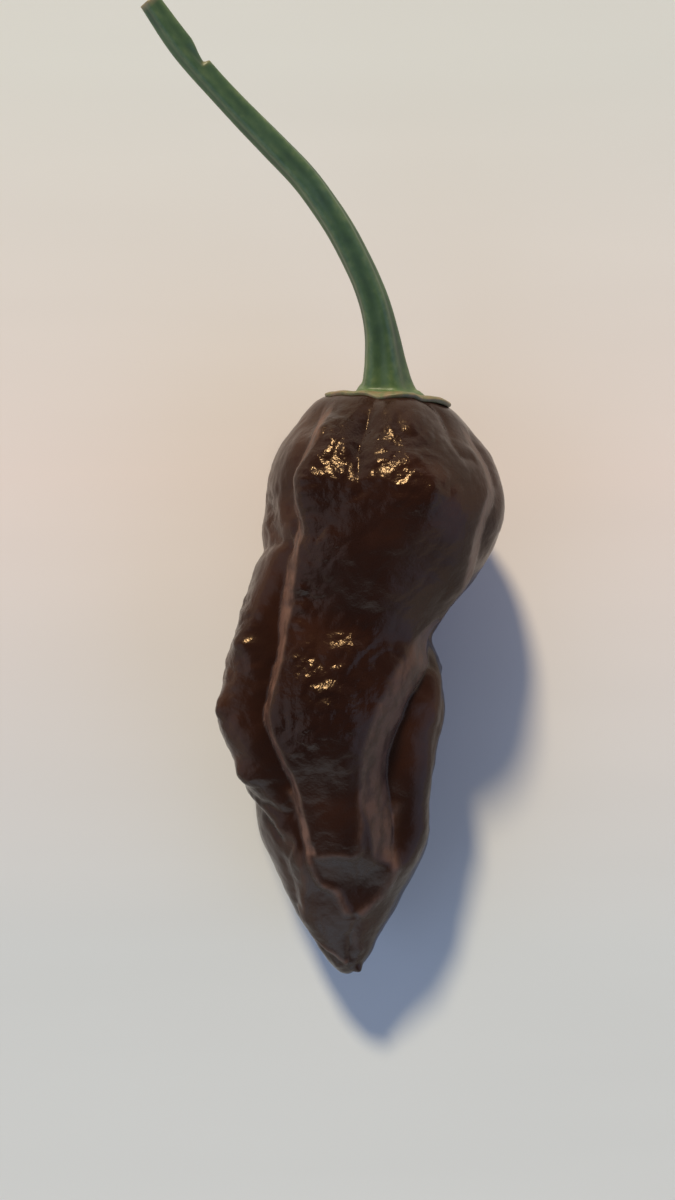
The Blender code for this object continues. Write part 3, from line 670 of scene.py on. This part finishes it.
def relief(t, angle, smooth=False):
    """How far, in mm, the skin stands out from the envelope, and how pale it is; the pale colour is
    partly the skin's own and partly painted reflection and sheen.
    """
    places = envelope(t, angle)
    height, pale_and_sheen = np.zeros(len(places)), np.zeros(len(places))
    amount, size, seed = WAVER
    wavering = places + amount * np.stack([noise(places, size, seed + k) for k in range(3)], -1)
    lines = [(fold_relief, fold) for fold in FOLDS] + [(ridge_relief, ridge) for ridge in RIDGES]
    for relief_of, line in lines:
        moved, paler = relief_of(line, wavering)
        height += moved
        pale_and_sheen = np.maximum(pale_and_sheen, paler)
    # Paler patches: partly the skin's own, partly painted sheen of the sun on the crown and the left lobe
    for at, towards, radius, amount in BLOOM_AND_SHEEN:
        away = distance_from(places, at, towards)
        pale_and_sheen = np.maximum(pale_and_sheen, amount * np.exp(-((away / radius) ** 2)))
    for at, towards, rise, length, breadth in SWELLINGS:
        offset = places - centre_of(at, towards)
        along = offset[:, 1] / length
        around = np.linalg.norm(offset[:, [0, 2]], axis=-1) / breadth
        height += rise * np.exp(-(along**2 + around**2))
    rise, radius, breadth = CROWN_RING
    away = distance_from(places, 0.0, 90.0)
    height += rise * np.exp(-(((away - radius) / breadth) ** 2))
    if not smooth:
        height += unevenness(places)
    return height, pale_and_sheen


def pod_surface(t, angle):
    """Points of the skin, and how pale each one is; the pale colour is partly the skin's own and partly
    painted reflection and sheen.
    """
    height, pale_and_sheen = relief(t, angle)
    points = envelope(t, angle) + height[:, None] * outwards(t, angle)
    points[:, 2] = np.maximum(points[:, 2], points[:, 2].min() + PRESSED_FLAT)
    return points, pale_and_sheen


def even_places(count):
    """`count` values of t, spaced evenly along the skin from the crown to the tip."""
    # Close together at both ends, where the skin turns over
    fine = np.sin(np.linspace(0, math.pi / 2, 4000)) ** 4
    length = np.zeros(len(fine))
    for side in (0, 90, 180, 270):
        line = envelope(fine, np.full(len(fine), float(side)))
        length[1:] += np.cumsum(np.linalg.norm(np.diff(line, axis=0), axis=1))
    return np.interp(np.linspace(0, length[-1], count), length, fine)


# ---------------------------------------------------------------- meshes


def ball_faces(rings, segments):
    """Faces of a ball: a first pole, `rings` rings of `segments` vertices, then a last pole."""
    ring = np.arange(rings - 1)[:, None] * segments + 1
    here = np.arange(segments)[None]
    after = (here + 1) % segments
    quads = np.stack([ring + here, ring + after, ring + segments + after, ring + segments + here], -1)
    last = 1 + (rings - 1) * segments
    pole = 1 + rings * segments
    first = [(0, 1 + int(b), 1 + int(a)) for a, b in zip(here[0], after[0])]
    final = [(pole, last + int(a), last + int(b)) for a, b in zip(here[0], after[0])]
    return first + quads.reshape(-1, 4).tolist() + final


def make_piece(name, points, faces, material, node):
    """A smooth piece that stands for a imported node. `points` are in the pod's own millimetres."""
    mesh = bpy.data.meshes.new(name)
    mesh.from_pydata((points * MM + place_of_origin).tolist(), [], faces)
    mesh.update()
    if mesh_volume(mesh) < 0:
        mesh.flip_normals()
    mesh.shade_smooth()
    mesh.materials.append(material)
    piece = bpy.data.objects.new(name, mesh)
    bpy.context.scene.collection.objects.link(piece)
    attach(piece, "root")
    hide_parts(node)
    return piece


def mesh_volume(mesh):
    corners = np.zeros(len(mesh.vertices) * 3)
    mesh.vertices.foreach_get("co", corners)
    corners = corners.reshape(-1, 3)
    total = 0.0
    for count in (3, 4):
        loops = np.array([p.vertices[:] for p in mesh.polygons if len(p.vertices) == count])
        if not len(loops):
            continue
        for second in range(1, count - 1):
            a, b, c = (corners[loops[:, k]] for k in (0, second, second + 1))
            total += (a * np.cross(b, c)).sum() / 6
    return total


def paint(piece, name, values):
    """Keeps one number a vertex for the piece's material."""
    layer = piece.data.attributes.new(name, "FLOAT", "POINT")
    layer.data.foreach_set("value", np.asarray(values, np.float32))


# ---------------------------------------------------------------- materials


def stored(nodes, name):
    """The number that paint kept under this name."""
    return nodes.add("ShaderNodeAttribute", attribute_name=name).outputs["Fac"]


class Nodes:
    """Short names for making a material's nodes."""

    def __init__(self, material_or_world):
        material_or_world.use_nodes = True
        self.tree = material_or_world.node_tree

    def add(self, kind, **settings):
        node = self.tree.nodes.new(kind)
        for key, value in settings.items():
            if hasattr(node, key):
                setattr(node, key, value)
            else:
                self.feed(node.inputs[key.replace("_", " ")], value)
        return node

    def feed(self, socket, value):
        if isinstance(value, bpy.types.NodeSocket):
            self.tree.links.new(value, socket)
        else:
            socket.default_value = value


def new_material(name):
    material = bpy.data.materials.new(name)
    nodes = Nodes(material)
    return material, nodes, nodes.tree.nodes["Principled BSDF"]


def colour_ramp(nodes, factor, stops):
    node = nodes.add("ShaderNodeValToRGB")
    nodes.feed(node.inputs["Fac"], factor)
    ramp_stops = node.color_ramp.elements
    while len(ramp_stops) < len(stops):
        ramp_stops.new(0.5)
    for element, (position, colour) in zip(ramp_stops, stops):
        element.position = position
        element.color = (*colour, 1)
    return node.outputs["Color"]


def pattern(nodes, size, detail=2.0, roughness=0.5, stretch=(1, 1, 1), turn=(0, 0, 0)):
    """Noise whose blotches are about `size` mm across, between 0 and 1."""
    spot = nodes.add("ShaderNodeTexCoord").outputs["Object"]
    mapping = nodes.add("ShaderNodeMapping")
    nodes.feed(mapping.inputs["Vector"], spot)
    mapping.inputs["Rotation"].default_value = turn
    mapping.inputs["Scale"].default_value = stretch
    node = nodes.add("ShaderNodeTexNoise")
    nodes.feed(node.inputs["Vector"], mapping.outputs["Vector"])
    node.inputs["Scale"].default_value = 1 / (size * MM)
    node.inputs["Detail"].default_value = detail
    node.inputs["Roughness"].default_value = roughness
    return node.outputs["Fac"]


def mixed(nodes, factor, first, second, blend="MIX"):
    """A mix of two colours, each a socket or (red, green, blue)."""
    node = nodes.add("ShaderNodeMix", data_type="RGBA", blend_type=blend)
    nodes.feed(node.inputs[0], factor)
    for socket, colour in ((6, first), (7, second)):  # the mix node's two colours
        nodes.feed(node.inputs[socket], (*colour, 1) if isinstance(colour, tuple) else colour)
    return node.outputs[2]


def bump(nodes, height, distance, strength=1.0, before=None):
    """The normals of a skin that `height` raises by up to `distance` mm, over those of `before`."""
    node = nodes.add("ShaderNodeBump")
    nodes.feed(node.inputs["Height"], height)
    node.inputs["Distance"].default_value = distance * MM
    node.inputs["Strength"].default_value = strength
    if before is not None:
        nodes.feed(node.inputs["Normal"], before)
    return node.outputs["Normal"]


def pod_material():
    material, nodes, shader = new_material("pod_skin")
    colour = colour_ramp(nodes, pattern(nodes, 9.0), POD_BROWNS)
    mottle = pattern(nodes, 1.3, detail=3.0, roughness=0.6, stretch=(1, 0.45, 1))
    mottle = colour_ramp(nodes, mottle, POD_MOTTLE)
    # The paler colour over the browns: partly the skin's own, partly painted reflection and sheen
    pale_and_sheen = mixed(nodes, 1.0, stored(nodes, "pale_and_sheen"), mottle, blend="MULTIPLY")
    colour = mixed(nodes, pale_and_sheen, colour, colour_ramp(nodes, pale_and_sheen, POD_PALES_AND_SHEEN))
    nodes.feed(shader.inputs["Base Color"], colour)
    rough = colour_ramp(nodes, pattern(nodes, 2.5), POD_GLOSS)
    nodes.feed(shader.inputs["Roughness"], mixed(nodes, pale_and_sheen, rough, POD_DULL))
    glints = mixed(nodes, stored(nodes, "crinkled"), LEVEL, pattern(nodes, 0.5))
    fine = bump(nodes, pattern(nodes, 0.35, detail=3.0), 0.04, 0.7)
    nodes.feed(shader.inputs["Normal"], bump(nodes, glints, 0.12, 0.8, before=fine))
    shader.inputs["IOR"].default_value = POD_IOR
    shader.inputs["Specular Tint"].default_value = POD_SHEEN
    return material


def calyx_material():
    material, nodes, shader = new_material("calyx_green")
    middle = colour_ramp(nodes, pattern(nodes, 1.2, detail=3.0), CALYX_GREENS)
    dry = colour_ramp(nodes, pattern(nodes, 0.8, detail=3.0), CALYX_DRIES)
    nodes.feed(shader.inputs["Base Color"], mixed(nodes, stored(nodes, "edge"), middle, dry))
    shader.inputs["Roughness"].default_value = CALYX_ROUGHNESS
    nodes.feed(shader.inputs["Normal"], bump(nodes, pattern(nodes, 0.4, detail=3.0), 0.06, 0.6))
    return material


def stem_material():
    material, nodes, shader = new_material("stem_green")
    # Painted shade in the rib furrows and painted light on the rib crests
    shaded_furrow = colour_ramp(nodes, pattern(nodes, 2.0, detail=3.0), SHADED_FURROW_GREENS)
    crest = colour_ramp(nodes, pattern(nodes, 0.9, detail=3.0), LIT_CREST_GREENS)
    green = mixed(nodes, stored(nodes, "rib"), shaded_furrow, crest)
    nodes.feed(shader.inputs["Base Color"], mixed(nodes, stored(nodes, "dry"), green, STEM_DRY))
    shader.inputs["Roughness"].default_value = STEM_ROUGHNESS
    nodes.feed(shader.inputs["Normal"], bump(nodes, pattern(nodes, 0.35, detail=3.0), 0.04, 0.5))
    return material


def floor_material():
    material, nodes, shader = new_material("table_top")
    streaks = pattern(nodes, 12.0, detail=2.0, stretch=(0.12, 1.0, 1.0))
    streaks = colour_ramp(nodes, streaks, FLOOR_STREAKS)
    # Painted light across the table, darker and cooler towards -Y
    parts = nodes.add("ShaderNodeSeparateXYZ")
    nodes.feed(parts.inputs[0], nodes.add("ShaderNodeTexCoord").outputs["Object"])
    reach = FLOOR_PAINTED_LIGHT_REACH * MM
    along = nodes.add("ShaderNodeMapRange", From_Min=-reach, From_Max=reach)
    nodes.feed(along.inputs["Value"], parts.outputs["Y"])
    colour = colour_ramp(nodes, along.outputs["Result"], FLOOR_PAINTED_LIGHT)
    colour = mixed(nodes, 1.0, colour, streaks, blend="MULTIPLY")
    nodes.feed(shader.inputs["Base Color"], colour)
    shader.inputs["Roughness"].default_value = FLOOR_ROUGHNESS
    shader.inputs["Specular IOR Level"].default_value = FLOOR_SHINE
    return material


# ---------------------------------------------------------------- the pieces


def build_pod():
    t = even_places(POD_RINGS + 2)
    angle = np.linspace(0, 360, POD_SEGMENTS, endpoint=False)
    ring_t = np.repeat(t[1:-1], POD_SEGMENTS)
    ring_angle = np.tile(angle, POD_RINGS)
    all_t = np.concatenate([[0.0], ring_t, [1.0]])
    all_angle = np.concatenate([[90.0], ring_angle, [90.0]])
    points, pale_and_sheen = pod_surface(all_t, all_angle)
    faces = ball_faces(POD_RINGS, POD_SEGMENTS)
    pod = make_piece("pod_skin", points, faces, pod_material(), "pod")
    # How pale the skin is, partly its own colour and partly painted reflection and sheen
    paint(pod, "pale_and_sheen", pale_and_sheen)
    paint(pod, "crinkled", crinkles(envelope(all_t, all_angle)).max(axis=0))


def skin(t, angle, lift):
    """Points `lift` mm outside the smooth skin."""
    shape = np.broadcast(t, angle, lift).shape
    t, angle, lift = (np.broadcast_to(v, shape).ravel().astype(float) for v in (t, angle, lift))
    height = relief(t, angle, smooth=True)[0] + lift
    return (envelope(t, angle) + height[:, None] * outwards(t, angle)).reshape(*shape, 3)


def build_calyx():
    polar = np.linspace(0, math.pi, CALYX_RINGS + 2)[1:-1]
    turn = np.linspace(0, 360, CALYX_SEGMENTS, endpoint=False)
    polar, turn = (v.ravel() for v in np.meshgrid(polar, turn, indexing="ij"))
    polar = np.concatenate([[0.0], polar, [math.pi]])
    turn = np.concatenate([[90.0], turn, [90.0]])
    # How far out each vertex is as a share of the radius, and whether it is on the outer face, at 1,
    # or on the underside, at 0
    out = np.sin(polar) ** CALYX_FULLNESS
    side = np.sign(np.cos(polar)) * np.abs(np.cos(polar)) ** CALYX_EDGE_SQUARENESS
    face = 0.5 + 0.5 * side

    from_tooth = np.radians(CALYX_TEETH * (turn - CALYX_TOOTH_ANGLE))
    tooth = (0.5 + 0.5 * np.cos(from_tooth)) ** 2
    circle = np.stack([np.cos(np.radians(turn)), np.sin(np.radians(turn)), 0 * turn], -1)
    circle = circle * CALYX_NOISE_RADIUS
    uneven, size, seed = CALYX_RIM
    rim = noise(circle, size, seed)
    radius = CALYX_DIAMETER / 2 - CALYX_NOTCH * (1 - tooth) + uneven * rim
    wall, uneven, size, seed = CALYX_WALL
    thick = wall + uneven * noise(circle, size, seed)
    cone = CALYX_CONE * np.clip(1 - out / CALYX_CONE_END, 0, 1) ** 2.0
    rise, size, seed = CALYX_CURL
    curl = rise * smoothstep(CALYX_CURL_START, 1.0, out) * (0.5 + noise(circle, size, seed))
    lift = -CALYX_TUCK + face * (thick + cone + curl + CALYX_TUCK)
    lift = lift + CALYX_TURN * radius * out * np.cos(np.radians(turn))
    points = skin(crown_place(radius * out), turn, lift)
    faces = ball_faces(CALYX_RINGS, CALYX_SEGMENTS)
    calyx = make_piece("calyx_rim", points, faces, calyx_material(), "calyx")
    paint(calyx, "edge", smoothstep(*CALYX_DRY_RIM, out + CALYX_DRY_CHANGE * rim))


def crown_frame():
    """Unit vectors at the middle of the crown: across towards +X, straight out of it, and up."""
    out = unit(np.array([LEAN, 1.0, PITCH]))
    across = unit(np.array([1.0, 0.0, 0.0]) - out[0] * out)
    return across, out, np.cross(across, out)


def build_stem():
    across, out, up = crown_frame()
    seat = skin(np.array([0.0]), np.array([90.0]), np.array([STEM_SEAT]))[0]
    route = seat + np.array(STEM_ROUTE) @ np.array([across, out, up])
    shares = np.linspace(0, 1, len(route))
    places = np.column_stack(
        through(np.column_stack([shares, route]), np.linspace(0, 1, STEM_RINGS))
    )
    steps = np.linalg.norm(np.diff(places, axis=0), axis=-1)
    run = np.concatenate([[0], np.cumsum(steps)]) / steps.sum()
    thickness = STEM_DIAMETER * through(STEM_TAPER, run)
    flare = (1 - smoothstep(0, STEM_FLARE_END, run)) ** 2
    thickness += flare * (STEM_FOOT_DIAMETER - thickness[0])

    along = unit(np.gradient(places, axis=0))
    side = unit(np.cross(along, up))
    top = np.cross(side, along)
    turn = np.radians(np.linspace(0, 360, STEM_SEGMENTS, endpoint=False))
    rib = np.cos(STEM_RIBS * turn[None] + STEM_TWIST * run[:, None])
    ribs = 1 + STEM_RIB * rib
    ledge = smoothstep(STEM_JOINT - STEM_LEDGE_EDGE, STEM_JOINT + STEM_LEDGE_EDGE, run)
    ledge *= 1 - smoothstep(STEM_JOINT, STEM_JOINT + STEM_LEDGE_RUN, run)
    on_right = np.clip(np.cos(turn), 0, 1)
    ribs -= STEM_LEDGE * ledge[:, None] * on_right
    radius = thickness[:, None] / 2 * ribs
    cosine, sine = (f(turn)[None, :, None] for f in (np.cos, np.sin))
    around = cosine * side[:, None] + sine * top[:, None]
    points = places[:, None] + radius[..., None] * around
    points = np.concatenate([places[:1], points.reshape(-1, 3), places[-1:]])
    faces = ball_faces(STEM_RINGS, STEM_SEGMENTS)
    stem = make_piece("stem_stalk", points, faces, stem_material(), "stem")

    paler, paler_end = STEM_YOUNG
    young = paler * (1 - smoothstep(0, paler_end, run))
    # Painted light on the rib crests and painted shade in the furrows; the foot is paler all round
    crest = np.clip(0.5 + 0.5 * rib + young[:, None], 0, 1)
    dry = np.exp(-(((run - STEM_JOINT) / STEM_DRY_SPOT) ** 2))[:, None] * on_right
    dry = np.clip(dry + smoothstep(STEM_DRY_END, 1.0, run)[:, None], 0, 1)
    paint(stem, "rib", np.concatenate([[0.5], crest.ravel(), [0.5]]))
    paint(stem, "dry", np.concatenate([[0.0], dry.ravel(), [1.0]]))


# ---------------------------------------------------------------- the setting


def build_floor():
    half = FLOOR_SIZE * MM / 2
    mesh = bpy.data.meshes.new("table_top")
    corners = [(-half, -half, 0), (half, -half, 0), (half, half, 0), (-half, half, 0)]
    mesh.from_pydata(corners, [], [(0, 1, 2, 3)])
    mesh.materials.append(floor_material())
    floor = bpy.data.objects.new("table_top", mesh)
    bpy.context.scene.collection.objects.link(floor)


def build_light():
    lamp = bpy.data.lights.new("sun", "SUN")
    lamp.energy = SUN_STRENGTH
    lamp.color = SUN_COLOUR
    lamp.angle = SUN_ANGLE
    sun = bpy.data.objects.new("sun", lamp)
    sun.rotation_euler = Vector(SUN_TOWARDS).to_track_quat("Z", "Y").to_euler()
    bpy.context.scene.collection.objects.link(sun)

    world = bpy.data.worlds.new("room")
    bpy.context.scene.world = world
    nodes = Nodes(world)
    background = nodes.tree.nodes["Background"]
    direction = nodes.add("ShaderNodeTexCoord").outputs["Generated"]
    parts = nodes.add("ShaderNodeSeparateXYZ")
    nodes.feed(parts.inputs[0], direction)
    sky = colour_ramp(nodes, parts.outputs["Z"], ROOM)
    for towards, inner, outer, colour in SOFT_WINDOWS:
        aim = nodes.add("ShaderNodeVectorMath", operation="DOT_PRODUCT")
        nodes.feed(aim.inputs[0], direction)
        aim.inputs[1].default_value = Vector(towards).normalized()
        spread = nodes.add("ShaderNodeMapRange", interpolation_type="SMOOTHSTEP")
        nodes.feed(spread.inputs["Value"], aim.outputs["Value"])
        spread.inputs["From Min"].default_value = math.cos(math.radians(outer))
        spread.inputs["From Max"].default_value = math.cos(math.radians(inner))
        sky = mixed(nodes, spread.outputs["Result"], sky, colour)
    nodes.feed(background.inputs["Color"], sky)
    background.inputs["Strength"].default_value = 1.0


def build_camera():
    low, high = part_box("pod")
    middle = (low + high) / 2
    lens = bpy.data.cameras.new("camera")
    lens.lens = CAMERA_LENS
    lens.sensor_width = CAMERA_SENSOR
    lens.clip_start = CAMERA_NEAR * MM
    camera = bpy.data.objects.new("camera", lens)
    x, y = CAMERA_FROM_POD
    camera.location = (middle.x + x * MM, middle.y + y * MM, CAMERA_HEIGHT * MM)
    bpy.context.scene.collection.objects.link(camera)
    bpy.context.scene.camera = camera


def pod_place():
    """Where the pod's own origin is in the frame: its box, shaped here roughly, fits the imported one."""
    around = np.linspace(0, 360, ROUGH_SEGMENTS, endpoint=False)
    t, angle = np.meshgrid(even_places(ROUGH_RINGS), around)
    rough = pod_surface(t.ravel(), angle.ravel())[0] * MM
    low, high = (np.array(corner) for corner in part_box("pod"))
    middle = (low + high) / 2 - (rough.min(0) + rough.max(0)) / 2
    return np.array([middle[0], middle[1], low[2] - rough[:, 2].min()])


place_of_origin = pod_place()
build_pod()
build_calyx()
build_stem()
build_floor()
build_light()
build_camera()
bpy.context.scene.view_settings.view_transform = "Standard"
